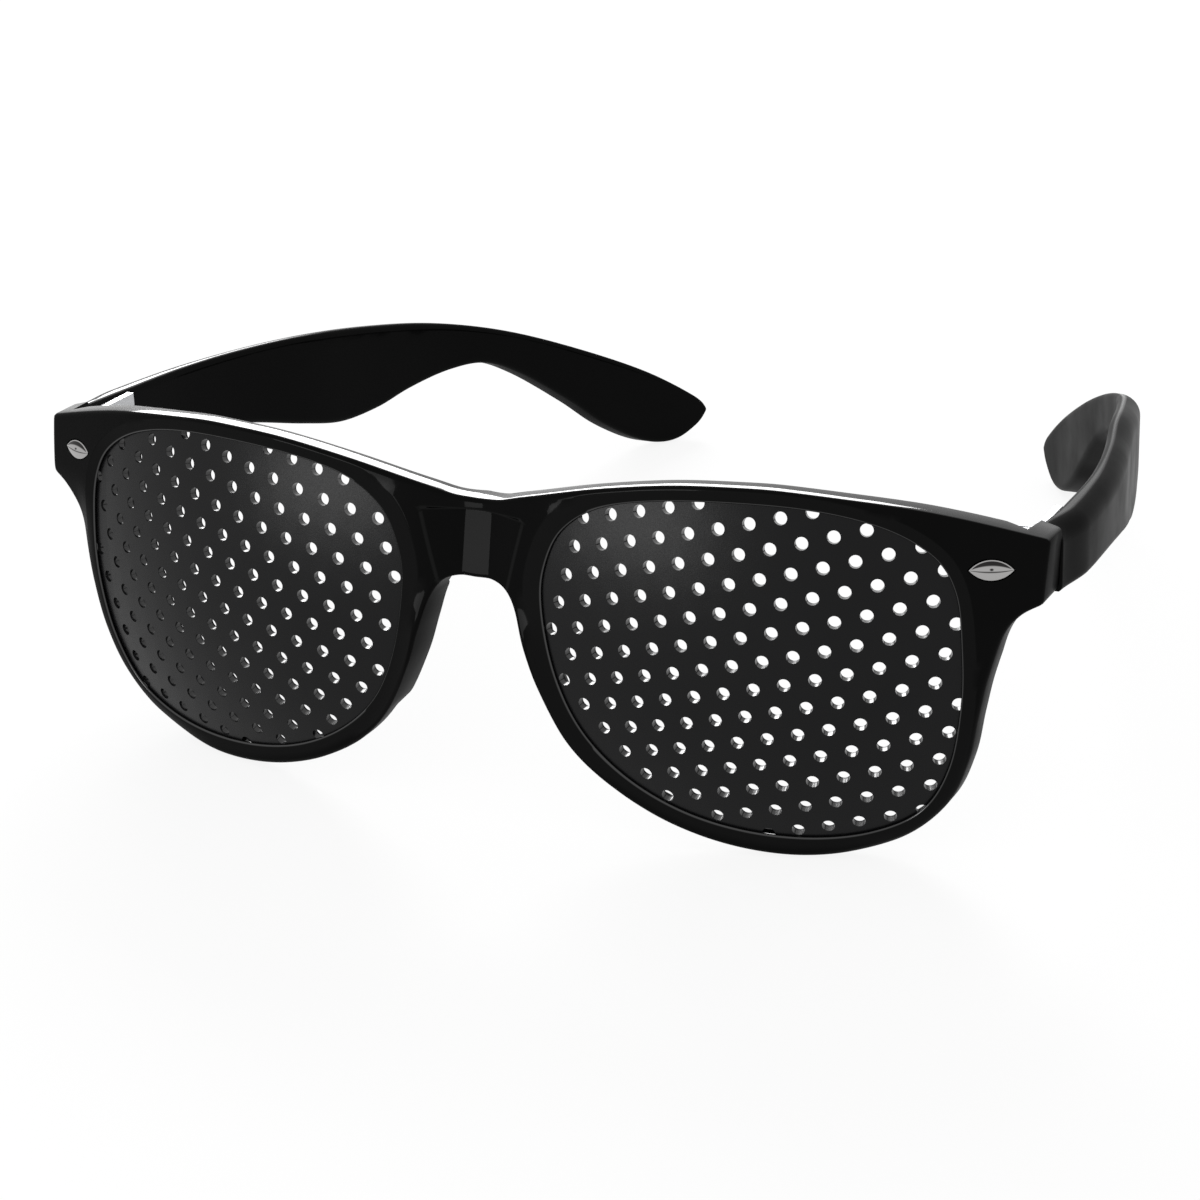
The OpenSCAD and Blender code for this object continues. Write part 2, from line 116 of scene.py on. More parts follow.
axes = camera_axes()
eye = on_table(-axes.T @ np.array([aside, below, view_distance]))
turned = (on_table(axes) - on_table(np.zeros(3))) * 1000
lens = bpy.data.cameras.new("photo_lens")
lens.sensor_width = sensor_mm
lens.lens = focal_in_pixels * sensor_mm / photo_pixels
lens.clip_start = 0.01
camera = bpy.data.objects.new("photo_camera", lens)
bpy.context.scene.collection.objects.link(camera)
camera.matrix_world = Matrix([
    [turned[0][i], turned[1][i], -turned[2][i], eye[i]] for i in range(3)
] + [[0, 0, 0, 1]])
bpy.context.scene.camera = camera
print("lens", round(lens.lens, 2), "mm, eye at", np.round(eye * 1000, 1).tolist())

# %% [markdown]
# ## Smooth outlines
# A moulder draws the front as a few points joined by smooth curves. A Bezier curve object
# could hold them, but the solids were drawn with the curve below, and using it again puts
# the looks exactly on them. Each outline is then walked in even steps and its sharpest
# corners are eased, as a polished mould has no knife edges.

# %% Points of the outlines
lower_edge = [
    [0, 4.7], [2.6, 4.7], [4.6, 3.9], [6.2, 1.5], [7.6, -2.8], [9.4, -8], [12.9, -14.8],
    [17.7, -20], [23.8, -23.8], [30, -26.2], [36.2, -27.5], [42.5, -27.8], [49.2, -27],
    [55.8, -24.3], [60.8, -19.4], [63.4, -13.4], [64.6, -7.4], [65.6, -2.1], [67, 3],
    [69, 5.9], [71.6, 7.4],
]
upper_edge = [
    [71.9, 15.2], [61.6, 17.9], [53.5, 19.5], [43, 20.7], [36, 20.9], [27, 20.4],
    [17, 18.75], [7.2, 16.3], [3.2, 15.2], [0, 14.9],
]
opening_edge = [
    [10.1, 2.7], [10.6, 8.2], [13.2, 13.2], [19.1, 16.8], [29.5, 18.6], [42.8, 18.7],
    [52.5, 16.9], [58.9, 13.4], [61.8, 8.8], [62.7, 2], [62.7, -5.5], [61.2, -14],
    [57.8, -20.2], [52, -23.5], [44.6, -24.9], [36, -24.6], [27.8, -22.6],
    [20.5, -18.7], [15, -13.2], [11.7, -6],
]
edge_step, fine_step = 0.45, 0.1
corner_ease, opening_ease = 0.35, 0.2


# %% Curves through the points
def smooth_curve(points, steps=16, closed=False):
    """Catmull-Rom curve: between b and c it is half of 2b + (c - a)t
    + (2a - 5b + 4c - d)t^2 + (3b - a - 3c + d)t^3, with a and d the next neighbours."""
    p = np.asarray(points, float)
    if closed:
        p = np.vstack([p[-1], p, p[0], p[1]])
    else:
        p = np.vstack([p[0], p, p[-1]])
    a, b, c, d = (p[i:len(p) - 3 + i, None] for i in range(4))
    t = (np.arange(steps) / steps)[None, :, None]
    q = 0.5 * (2 * b + (c - a) * t + (2 * a - 5 * b + 4 * c - d) * t**2
               + (3 * b - a - 3 * c + d) * t**3)
    q = q.reshape(-1, p.shape[1])
    return q if closed else np.vstack([q, p[-1]])


def even_loop(points, step):
    """Walks a closed curve in equal steps: arc length is summed and read off evenly."""
    p = np.vstack([points, points[:1]])
    along = np.concatenate([[0], np.cumsum(np.linalg.norm(np.diff(p, axis=0), axis=1))])
    count = int(round(along[-1] / step))
    places = np.arange(count) * along[-1] / count
    return np.stack([np.interp(places, along, p[:, k]) for k in range(p.shape[1])], 1)


def eased_loop(points, radius, step):
    """Eases corners: on a finely stepped loop each point becomes the mean of its
    neighbours, weighted by exp(-d^2 / 2 r^2) for one at the distance d."""
    p = even_loop(points, fine_step)
    reach = int(radius / fine_step * 3)
    bell = np.exp(-0.5 * (np.arange(-reach, reach + 1) * fine_step / radius) ** 2)
    bell /= bell.sum()
    rows = (np.arange(len(p))[:, None] + np.arange(-reach, reach + 1)) % len(p)
    return even_loop(np.einsum("k,nkd->nd", bell, p[rows]), step)


left_half = np.vstack([smooth_curve(lower_edge), smooth_curve(upper_edge)])
mirrored = left_half[::-1][1:-1] * [-1, 1]
outline = eased_loop(np.vstack([left_half, mirrored]), corner_ease, edge_step)
left_opening = eased_loop(smooth_curve(opening_edge, closed=True), opening_ease, edge_step)
right_opening = left_opening[::-1] * [-1, 1]
front_loops = [outline, left_opening, right_opening]
print("points on the outline and on each opening", len(outline), len(left_opening))

# %% [markdown]
# ## The moulded front
# Front, bridge, nose pads and corners come out of the mould as one piece. It could be cut
# from a block with booleans and bevels, which leaves no say over where the points lie.
# Seen from the front it is a flat shape with two openings, and both its faces are heights
# over that shape. So the shape is filled with points, joined into triangles once, and
# used twice, for the front and for the back, with walls between them. Rows of points set
# close along every edge carry the rounding of the edges.

# %% Distances in the flat shape
def distance_to(points, loop):
    """Distance from each point to a closed curve: to the nearest spot on each segment."""
    a, b = loop, np.roll(loop, -1, 0)
    ab = b - a
    best = np.full(len(points), np.inf)
    for part in np.array_split(np.arange(len(loop)), max(len(loop) // 100, 1)):
        ap = points[:, None] - a[part]
        t = np.clip((ap * ab[part]).sum(-1) / (ab[part] ** 2).sum(-1), 0, 1)
        gap = ap - t[..., None] * ab[part]
        best = np.minimum(best, np.sqrt((gap**2).sum(-1)).min(1))
    return best


def inside(points, loop):
    """True within a closed curve: a ray from the point crosses it an odd number of times."""
    a, b = loop, np.roll(loop, -1, 0)
    px, pz = points[:, :1], points[:, 1:]
    spans = (a[:, 1] > pz) != (b[:, 1] > pz)
    rise = np.where(a[:, 1] == b[:, 1], 1, b[:, 1] - a[:, 1])
    crossing = a[:, 0] + (b[:, 0] - a[:, 0]) * (pz - a[:, 1]) / rise
    return (spans & (px < crossing)).sum(1) % 2 == 1


def normals_left(loop):
    """Unit normals to the left of the way along a closed curve."""
    way = np.roll(loop, -1, 0) - np.roll(loop, 1, 0)
    way /= np.linalg.norm(way, axis=1, keepdims=True)
    return np.stack([-way[:, 1], way[:, 0]], 1)


def kept_in_material(points, margin=0.0):
    """The points that lie in the flat shape, at least their margin away from every edge."""
    in_opening = inside(points, left_opening) | inside(points, right_opening)
    kept = inside(points, outline) & ~in_opening
    points, margin = points[kept], np.broadcast_to(margin, len(points))[kept]
    nearest = np.min([distance_to(points, loop) for loop in front_loops], 0)
    return points[nearest >= margin]


# %% [markdown]
# ### The curve of the face
# Each rim follows a large sphere of its own, as such fronts wrap round the head, and runs
# straight on to the corner from x = 58 mm. A sheet bent by a modifier could come near it,
# but the grooves for the plates follow the same curve further back, so it is written as a
# function of the depth and used for all of them.

# %% The sphere and its straight end
face_r, face_centre, straight_from_x = 84.0, np.array([24.8, 82.5, -2.0]), 58
straight_turn = math.asin((straight_from_x - face_centre[0]) / face_r)


def shell_y(points, depth=0.0):
    """Depth of a side's face behind the drawing's middle plane, at x and z: a sphere,
    and past the turn where the face runs straight to the corner, a cylinder."""
    out, rise = np.abs(points[:, 0]) - face_centre[0], points[:, 1] - face_centre[2]
    reach = (face_r - depth) ** 2 - rise**2
    c, s = math.cos(straight_turn), math.sin(straight_turn)
    on_sphere = -np.sqrt(reach - out**2)
    on_straight = (out * s - np.sqrt(reach)) / c
    return face_centre[1] + np.where(out * c + on_sphere * s > 0, on_straight, on_sphere)


def ramp(value, start, end):
    """0 before the start and 1 past the end, whichever of them is the larger, and
    3t^2 - 2t^3 between them, with t the share of the way."""
    t = np.clip((value - start) / (end - start), 0, 1)
    return t * t * (3 - 2 * t)


def round_off(distance, radius):
    """Fall of a quarter-round edge: r - sqrt(r^2 - (r - d)^2) nearer than r."""
    short = np.clip(radius - distance, 0, radius)
    return radius - np.sqrt(radius**2 - short**2)


def soft_max(a, b, soft):
    """Larger of two values, with the crease between them rounded over a small width."""
    return (a + b + np.sqrt((a - b) ** 2 + soft**2)) / 2


print("the face runs straight from a turn of", round(math.degrees(straight_turn), 1), "degrees")

# %% [markdown]
# ### The bridge
# Between the rims lies a narrow facet that leans back, at the bottom of a trough with
# straight slopes. A boolean would leave knife edges there, so the trough is a second depth,
# and the face takes the deeper of the two with a soft crease between them.

# %% The facet and its trough
facet_half_w, facet_y, facet_foot_z, facet_h = 1.9, 1.77, 4.0, 9.4
facet_lean, facet_top_z = math.radians(13), facet_foot_z + facet_h
trough_half_w, trough_half_w_z, trough_narrowing = 5.2, 5, 0.2625
nose_arch_z, least_slope, valley_half_w = 2.5, 0.3, 2.5


def facet_plane(z):
    """Depth of the leaning facet at height z."""
    return facet_y + (z - facet_foot_z) * math.tan(facet_lean)


def face_y(points):
    """Front face before its cuts: shell_y with |x| replaced by sqrt(x^2 + w^2), which
    fills the sharp valley of half width w where the two spheres meet on the bridge."""
    return shell_y(np.stack([np.hypot(points[:, 0], valley_half_w), points[:, 1]], 1))


def trough_edge(z):
    """Half width of the trough at height z, along its straight upper edges, which stop
    narrowing at the nose arch."""
    return trough_half_w + (np.maximum(z, nose_arch_z) - trough_half_w_z) * trough_narrowing


def trough_y(points):
    """Depth of the trough between the rims: the facet's plane in the middle, and beside
    it a straight slope that meets the face at the trough's edge."""
    x, z = np.abs(points[:, 0]), points[:, 1]
    edge, floor_y = trough_edge(z), facet_plane(z)
    slope = (floor_y - face_y(np.stack([edge, z], 1))) / (edge - facet_half_w)
    return floor_y - np.maximum(x - facet_half_w, 0) * np.maximum(slope, least_slope)


print("facet top at", facet_top_z, "mm, trough half width there", round(trough_edge(facet_top_z), 2))

# %% [markdown]
# ### The seats of the almonds
# Each corner carries a small bright almond, let into the front. Its outline is two arcs
# through two tips. It leans with the face, so it gets a frame of its own: level along it,
# upwards across it and outwards from the face.

# %% Place and outline of an almond
almond_at, almond_half = np.array([65.8, 11.8]), np.array([2.7, 1.25])
almond_proud, almond_sink = 0.3, 0.4
almond_tilt = math.asin((almond_at[1] - face_centre[2]) / face_r)
level = np.array([math.cos(straight_turn), math.sin(straight_turn), 0])
outwards = np.array([level[1] * math.cos(almond_tilt), -level[0] * math.cos(almond_tilt),
                     math.sin(almond_tilt)])
upwards = np.cross(outwards, level)
from_turn = (almond_at[0] - face_centre[0] - face_r * outwards[0]) / level[0]
almond_middle = face_centre + from_turn * level + face_r * outwards


def arc_radius(half_l, half_h):
    """Radius R of the arcs through both tips: (l^2 + h^2) / 2h."""
    return (half_l**2 + half_h**2) / (2 * half_h)


def almond_inset(u, v):
    """How far a spot lies inside the almond: R less the distance to the centre of the
    arc on its side."""
    arc_r = arc_radius(*almond_half)
    return arc_r - np.hypot(u, np.abs(v) + arc_r - almond_half[1])


def almond_ring(half_l, half_h, count):
    """Spots round an almond: u = l cos t and v = sqrt(R^2 - u^2) - (R - h), on the side
    that the sign of sin t gives."""
    t, arc_r = np.linspace(0, 2 * np.pi, count + 1)[:-1], arc_radius(half_l, half_h)
    u = half_l * np.cos(t)
    return u, np.sign(np.sin(t)) * (np.sqrt(arc_r**2 - u**2) - (arc_r - half_h))


def almond_local(points):
    """Places along and across the almond of points on the front face."""
    x, z = np.abs(points[:, 0]), points[:, 1]
    p = np.stack([x, shell_y(points), z], 1) - almond_middle
    return p @ level, p @ upwards


print("middle of the left almond", np.round(almond_middle, 2).tolist())

# %% [markdown]
# ### Both faces
# The real rims aren't plain: a slope leads down to each plate, and away from it the rim
# falls back beside the temples and comes forward beside the nose. All of these are added
# to the sphere as functions of the distance to the edges, so they stay smooth.

# %% Sizes of the rims and the back
rim_depth, bridge_depth, pad_depth = 3.0, 5.0, 5.8
lip_t, plate_t, plate_reach, plate_gap = 0.9, 1.1, 1.2, 0.1
edge_r, lip_r, back_r, opening_back_r, corner_back_r = 0.55, 0.3, 0.6, 0.35, 0.12
bevel_depth, bevel_w, nose_bevel_w = 0.55, 1.75, 2.6
temple_side_lean, nose_side_lean, lean_w, back_lean = 1.6, 1.2, 4.5, 1.8
trough_crease_w, trough_end_w = 0.14, 0.15
seat_from, seat_to = -0.18, -0.03
corner_back_y, pocket_y, pocket_x = 18.0557, 14.5057, 68.9
pad_at_x, pad_at_z, pad_r = 9.2, -6.2, 9.9


# %% The front face and the back face
def bevel_width(points):
    """Width of the slope round an opening, which grows beside the nose."""
    return bevel_w + (nose_bevel_w - bevel_w) * ramp(np.abs(points[:, 0]), 22, 12)


def rim_lean(points, to_opening):
    """Extra depth of a rim away from its opening, below the corners: it falls back
    beside the temples and comes forward beside the nose."""
    x, z = np.abs(points[:, 0]), points[:, 1]
    beside_temple = temple_side_lean * ramp(x, 42, 54) * ramp(z, 9, 0)
    beside_nose = nose_side_lean * ramp(x, 20, 12) * ramp(z, 4, -4)
    return (beside_temple - beside_nose) * ramp(to_opening, 0, lean_w)


def front_y(points, to_outline, to_opening):
    """Front face: the filled sphere with the trough cut into it, eased along the outline
    and sloped towards the openings. The bright almonds sit in shallow seats."""
    y, z = face_y(points), points[:, 1]
    in_trough = ramp(z, facet_top_z + trough_end_w, facet_top_z - trough_end_w)
    y = y + (soft_max(y, trough_y(points), trough_crease_w) - y) * in_trough
    y = y + round_off(to_outline, edge_r) + round_off(to_opening, lip_r)
    y = y + rim_lean(points, to_opening)
    y = y + bevel_depth * np.clip(1 - to_opening / bevel_width(points), 0, 1)
    seat = ramp(almond_inset(*almond_local(points)), seat_from, seat_to)
    return y + almond_sink / -outwards[1] * seat


def back_y(points, to_outline, to_opening):
    """Back face: the rim's depth, deeper over the bridge and the nose pads, with the
    flat boss and corner that the hinge and the temple meet."""
    x, z = np.abs(points[:, 0]), points[:, 1]
    bridge = ramp(x, 8.9, 7.7) * ramp(z, 12.7, 11.7)
    from_pad = np.hypot(x - pad_at_x, z - pad_at_z)
    pad = ramp(from_pad, pad_r, pad_r - 1.4) * ramp(to_opening, 0.7, 2.1)
    depth = rim_depth + np.maximum((bridge_depth - rim_depth) * bridge,
                                   (pad_depth - rim_depth) * pad)
    y = shell_y(points, depth) + back_lean * np.maximum(rim_lean(points, to_opening), 0)
    y = np.where((x < pocket_x) & (z > 0), np.minimum(y, pocket_y), y)
    boss = ramp(x, 62.2, 62.7) * ramp(z, 7.7, 8.1) * ramp(z, 15.5, 15.1)
    y = y + np.maximum(pocket_y - y, 0) * boss
    corner = ramp(x, pocket_x, pocket_x + 0.25) * ramp(z, 0.5, 1.5)
    y = y + np.maximum(corner_back_y - y, 0) * corner
    outline_r = np.where(x > pocket_x, corner_back_r, back_r)
    return y - round_off(to_outline, outline_r) - round_off(to_opening, opening_back_r)


# %% [markdown]
# ### Points and triangles
# A grid would cut across the curved edges and leave them ragged. So the points come in
# three kinds: rows beside each edge, where the face curves most, rows along the creases
# of the bridge and the almonds, and an even hexagonal field for the rest. A constrained
# Delaunay triangulation joins them without crossing an edge.

# %% Fill and join a flat shape
def hex_field(low, high, spacing):
    """Even hexagonal field over a box: rows lie 0.866 of a step apart, and every second
    one is shifted by half a step."""
    x, z = np.meshgrid(np.arange(low[0], high[0], spacing),
                       np.arange(low[1], high[1], spacing * 0.866))
    x = x + (np.arange(len(x)) % 2)[:, None] * spacing / 2
    return np.stack([x.ravel(), z.ravel()], 1)


def join(loops, inner_points):
    """Triangles over the flat shape whose first loop is the outline and whose others are
    openings; every loop stays an edge. Returns the points and the triangles."""
    flat, edges, start = np.vstack(loops + inner_points), [], 0
    for loop in loops:
        i = np.arange(len(loop))
        edges += np.stack([start + i, start + (i + 1) % len(loop)], 1).tolist()
        start += len(loop)
    result = delaunay_2d_cdt(flat.tolist(), edges, [], 1, 1e-6)
    shape, triangles = np.array([tuple(v) for v in result[0]]), np.array(result[2])
    assert len(shape) == len(flat) and np.abs(shape - flat).max() < 1e-4
    for loop in loops[1:]:
        triangles = triangles[~inside(shape[triangles].mean(1), loop)]
    return shape, triangles


# %% Rows beside edges and creases
crease_from_z, crease_step, ledge_step, ledge_half_w = 3.1, 0.23, 0.24, 7.2


def edge_row(loop, offset):
    """A row beside an edge, dropped where it comes too near another part of an edge."""
    offset = np.broadcast_to(offset, len(loop))
    return kept_in_material(loop + normals_left(loop) * offset[:, None], 0.85 * offset)


def trough_rows():
    """Rows along the creases of the trough: its floor's sides, its edges and its top."""
    rows, z = [], np.arange(crease_from_z, facet_top_z - 0.45, crease_step)
    edge = trough_edge(z)
    for offset in (-0.34, -0.12, 0.0, 0.12, 0.34):
        for half in (facet_half_w + offset + 0 * z, edge + offset):
            rows += [np.stack([half, z], 1), np.stack([-half, z], 1)]
        x = np.arange(-ledge_half_w, ledge_half_w + 0.01, ledge_step) + 0.05
        rows.append(np.stack([x, np.full(len(x), facet_top_z + offset)], 1))
    return rows


def almond_rows():
    """Rings round the almond's seat, from just inside its edge to just outside."""
    rings = []
    for inset in (0.15, 0.0, -0.06, -0.12, -0.18, -0.3):
        u, v = almond_ring(*(almond_half - inset * np.array([1.9, 1])), 72)
        p = almond_middle + np.outer(u, level) + np.outer(v, upwards)
        rings += [p[:, [0, 2]], p[:, [0, 2]] * [-1, 1]]
    return rings


# %% Fill the front
outer_offsets = edge_r * np.append(1 - np.cos(np.radians([25, 45, 60, 75, 90])), [1.15, 1.45])
inner_shares = [0.012, 0.05, 0.1, 0.17, 0.35, 0.65, 0.93, 0.98, 1.02, 1.07, 1.25]
field_step, clear_of_crease = 0.55, 0.6
rows = [edge_row(outline, offset) for offset in outer_offsets]
for loop in (left_opening, right_opening):
    rows += [edge_row(loop, share * bevel_width(loop)) for share in inner_shares]
seats = np.unique(np.round(np.vstack(almond_rows()), 5), axis=0)
creases = kept_in_material(np.vstack(trough_rows()), 0.6)
field = kept_in_material(hex_field([-72.5, -28.5], [72.5, 21.5], field_step), 2 * field_step)
to_holes = np.minimum(distance_to(field, left_opening), distance_to(field, right_opening))
x, z = np.abs(field[:, 0]), field[:, 1]
to_crease = np.minimum(np.abs(x - facet_half_w), np.abs(x - trough_edge(z)))
near = (to_crease < clear_of_crease) & (z < facet_top_z + 0.5) & (x < 9)
near = near | (np.abs(z - facet_top_z) < clear_of_crease) & (x < ledge_half_w + 0.3)
field = field[~near & (to_holes > 1.25 * bevel_width(field) + 0.3)]
field = field[np.abs(almond_inset(*almond_local(field)) + 0.08) > 0.4]
shape, triangles = join(front_loops, rows + [creases, seats, field])
starts = np.cumsum([0] + [len(loop) for loop in front_loops])
print("flat shape:", len(shape), "points,", len(triangles), "triangles")


# %% [markdown]
# ### The polish of each point
# In the photograph the plastic mirrors most on the walls that face up and on the lip round
# each plate, and little elsewhere. So every point carries a number for its polish, which
# the plastic's finish reads later. It could be painted by hand, but the shape's own
# distances already say where each place is.

# %% Helpers for pieces and their polish
matt_polish, bevel_polish, crease_polish, lip_polish, top_wall_polish = 0.024, 0.048, 0.07, 0.5, 0.5


def add_mesh(name, points, faces, body, smooth_angle=35):
    """A mesh piece at the origin from drawn points in mm, smooth but for edges sharper
    than the given angle. It rides on its CAD body."""
    mesh = bpy.data.meshes.new(name)
    mesh.from_pydata(on_table(points).tolist(), [], faces)
    mesh.validate()
    mesh.polygons.foreach_set("use_smooth", np.ones(len(mesh.polygons), bool))
    mesh.set_sharp_from_angle(angle=math.radians(smooth_angle))
    piece = bpy.data.objects.new(name, mesh)
    bpy.context.scene.collection.objects.link(piece)
    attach(piece, body)
    print(name, len(mesh.vertices), "points,", len(mesh.polygons), "faces")
    return piece


def keep_values(piece, name, values, rest):
    """Stores a number for each point under a name; points past the list get the rest."""
    values = np.append(values, np.full(len(piece.data.vertices) - len(values), rest))
    piece.data.attributes.new(name, "FLOAT", "POINT").data.foreach_set("value", values)


def top_polish(loop):
    """Polish of the points of an outline: high where its wall faces up."""
    up = -normals_left(loop)[:, 1]
    return matt_polish + (top_wall_polish - matt_polish) * ramp(up, 0.75, 0.95)


def ring_quads(first, second):
    """Quads between two closed rows of point numbers of the same length."""
    a, b = np.roll(first, -1), np.roll(second, -1)
    return np.stack([first, second, b, a], 1).tolist()


def wall_row(loop, depth):
    """A row of the opening's wall, at a depth behind the sphere's face."""
    return np.stack([loop[:, 0], shell_y(loop, depth), loop[:, 1]], 1)


# %% Make the front
to_outline = distance_to(shape, outline)
to_opening = np.minimum(distance_to(shape, left_opening), distance_to(shape, right_opening))
front = np.stack([shape[:, 0], front_y(shape, to_outline, to_opening), shape[:, 1]], 1)
back = np.stack([shape[:, 0], back_y(shape, to_outline, to_opening), shape[:, 1]], 1)
count = len(shape)
total = 2 * count
points = [front, back]
faces = triangles.tolist() + (triangles[:, ::-1] + count).tolist()
outer = np.arange(len(outline))
faces += ring_quads(outer, outer + count)
for start, loop in zip(starts[1:], front_loops[1:]):
    ring = start + np.arange(len(loop))
    grown = loop + normals_left(loop) * (plate_reach + plate_gap)
    walls = [wall_row(loop, lip_t), wall_row(grown, lip_t),
             wall_row(grown, lip_t + plate_t), wall_row(loop, lip_t + plate_t)]
    for wall_points in walls:
        row = total + np.arange(len(loop))
        faces += ring_quads(ring, row)
        points.append(wall_points)
        total += len(loop)
        ring = row
    faces += ring_quads(ring, start + np.arange(len(loop)) + count)
front_piece = add_mesh("moulded_front", np.vstack(points), faces, "front")
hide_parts("front_frame")

# %% Polish of the front
lip_w, crease_half_w, crease_foot_z = 0.22, 0.13, 3
x, z = np.abs(shape[:, 0]), shape[:, 1]
on_bevel = ramp(to_opening / bevel_width(shape), 1.02, 0.93)
on_side = (np.abs(x - trough_edge(z)) < crease_half_w) & (z > crease_foot_z) & (z < facet_top_z)
on_ledge = (np.abs(z - facet_top_z) < crease_half_w) & (x < ledge_half_w)
front_polish = matt_polish + (bevel_polish - matt_polish) * on_bevel
front_polish[to_opening < lip_w] = lip_polish
front_polish[on_side | on_ledge] = crease_polish
back_polish = np.full(count, matt_polish)
front_polish[:len(outline)] = back_polish[:len(outline)] = top_polish(outline)
keep_values(front_piece, "polish", np.append(front_polish, back_polish), matt_polish)
print("points polished more than the slopes", int((front_polish > bevel_polish).sum()))

# %% [markdown]
# ## The temples
# A temple is a flat strip of the same plastic, shaped in two views: from the side it
# tapers, then widens and drops behind the ear, and from above it runs back and curls in
# round the head. A profile carried along a path would blur the outline of the ear end, so
# it is made as the front was, on its side view: the same filling of a flat outline, with
# the outer and the inner face as heights over it.

# %% Outlines of a temple
temple_start_y, temple_root_x, hinge_z = 18.3557, 70.9, 11.6
temple_plan = np.array([
    [0, 0], [0, 8.65], [-0.9, 22.25], [-3.2, 35.65], [-6.5, 49.15], [-9.6, 62.65],
    [-13.3, 75.65], [-18.7, 87.95], [-25.3, 99.85], [-32.3, 112.25], [-38.9, 122.65],
])
temple_top = [
    [0, 3.9], [8.65, 3.4], [22.25, 2.8], [35.65, 2.1], [49.05, 1.0], [62.45, -1.05],
    [75.65, -3.85], [87.95, -7.8], [99.65, -13.2], [112.25, -20.2], [120.85, -26.7],
    [122.9, -29.5],
]
temple_bottom = [
    [122.9, -29.5], [121.2, -31.8], [117.2, -33.8], [112.25, -32.8], [105.65, -28.5],
    [99.65, -23], [91.65, -16.4], [85.15, -12.8], [78.65, -12.2], [69.65, -13.2],
    [62.45, -14.5], [54.65, -14.6], [46.65, -12.7], [35.65, -9.5], [22.25, -6.4],
    [8.65, -5.2], [0, -4.8],
]
thick_at, thick = [11.65, 31.65, 122.65], [3.8, 3.2, 3.4]
temple_ease, temple_step = 0.25, 0.3
top_line, bottom_line = smooth_curve(temple_top), smooth_curve(temple_bottom[::-1])
side_view = np.vstack([bottom_line[:-1], smooth_curve(temple_top[::-1])])
side_view = eased_loop(side_view, temple_ease, temple_step)
middle_line = smooth_curve(temple_plan)
way = np.gradient(middle_line, axis=0)
way /= np.linalg.norm(way, axis=1, keepdims=True)
thickness = np.interp(middle_line[:, 1], thick_at, thick)
half_thick = thickness[:, None] / 2 * way[:, ::-1] * [1, -1]
outer_line, inner_line = middle_line + half_thick, middle_line - half_thick
print("side view", len(side_view), "points; thickness", thickness.min(), "to", thickness.max())


# %% Fill the side view
top_edge_r, temple_edge_r, root_edge_r = 2.4, 0.86, 0.1
root_taper, root_back, root_taper_l, root_l = 0.8, 0.25, 8, 4
row_angles = np.radians([10, 20, 30, 40, 50, 60, 70, 80, 90])
temple_rows = []
for offset in np.append(top_edge_r * (1 - np.cos(row_angles)), [2.6, 3.0]):
    row = side_view + normals_left(side_view) * offset
    row = row[inside(row, side_view)]
    temple_rows.append(row[distance_to(row, side_view) > 0.85 * offset])
field = hex_field(side_view.min(0), side_view.max(0), 0.8)
field = field[inside(field, side_view)]
field = field[distance_to(field, side_view) > 3.35]
side, side_triangles = join([side_view], temple_rows + [field])
print("side view filled:", len(side), "points,", len(side_triangles), "triangles")


# %% Raise both faces and make the temples
def at_places(line, y):
    """x of a line at the places y, run straight on past its ends."""
    x = np.interp(y, line[:, 1], line[:, 0])
    slope = (line[-1, 0] - line[-4, 0]) / (line[-1, 1] - line[-4, 1])
    return x + np.maximum(y - line[-1, 1], 0) * slope


from_root, height = side[:, 0], side[:, 1]
top_z, bottom_z = np.interp(from_root, *top_line.T), np.interp(from_root, *bottom_line.T)
to_long_edge = np.where(from_root < root_l, np.minimum(top_z - height, height - bottom_z),
                        distance_to(side, side_view))
to_long_edge = np.maximum(to_long_edge, 0)
outer_r = np.where(height > (top_z + bottom_z) / 2, top_edge_r, temple_edge_r)
at_root, near_root = round_off(from_root, root_edge_r), ramp(from_root, root_taper_l, 0)
outer_x = temple_root_x + at_places(outer_line, from_root) - round_off(to_long_edge, outer_r)
outer_x = outer_x - at_root - root_taper * near_root
inner_x = temple_root_x + at_places(inner_line, from_root) + round_off(to_long_edge, temple_edge_r)
inner_x = inner_x + at_root
flat_yz = [temple_start_y + from_root - root_back * near_root, hinge_z + height]
numbers = np.arange(len(side_view))
side_faces = side_triangles.tolist() + (side_triangles[:, ::-1] + len(side)).tolist()
side_faces += ring_quads(numbers, numbers + len(side))
side_polish = np.full(len(side), matt_polish)
side_polish[numbers] = top_polish(side_view)
for sign, name in ((1, "left"), (-1, "right")):
    points = np.vstack([np.stack([sign * outer_x] + flat_yz, 1),
                        np.stack([sign * inner_x] + flat_yz, 1)])
    faces = [face[::sign] for face in side_faces]
    body = name + "_temple_body"
    temple = add_mesh(name + "_moulded_temple", points, faces, body)
    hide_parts(name + "_temple")
    keep_values(temple, "polish", np.tile(side_polish, 2), matt_polish)

# %% [markdown]
# ## The bright almonds
# Each front corner carries a small stamped and chromed plate in the shape of an almond. It
# has a roof-like crease from tip to tip and a tiny dent in the middle, left by the punch.
# A squeezed sphere would round its tips off. So rings shrink from its outline to its
# middle and are lifted by their distance from the edge, which gives the crease by itself.

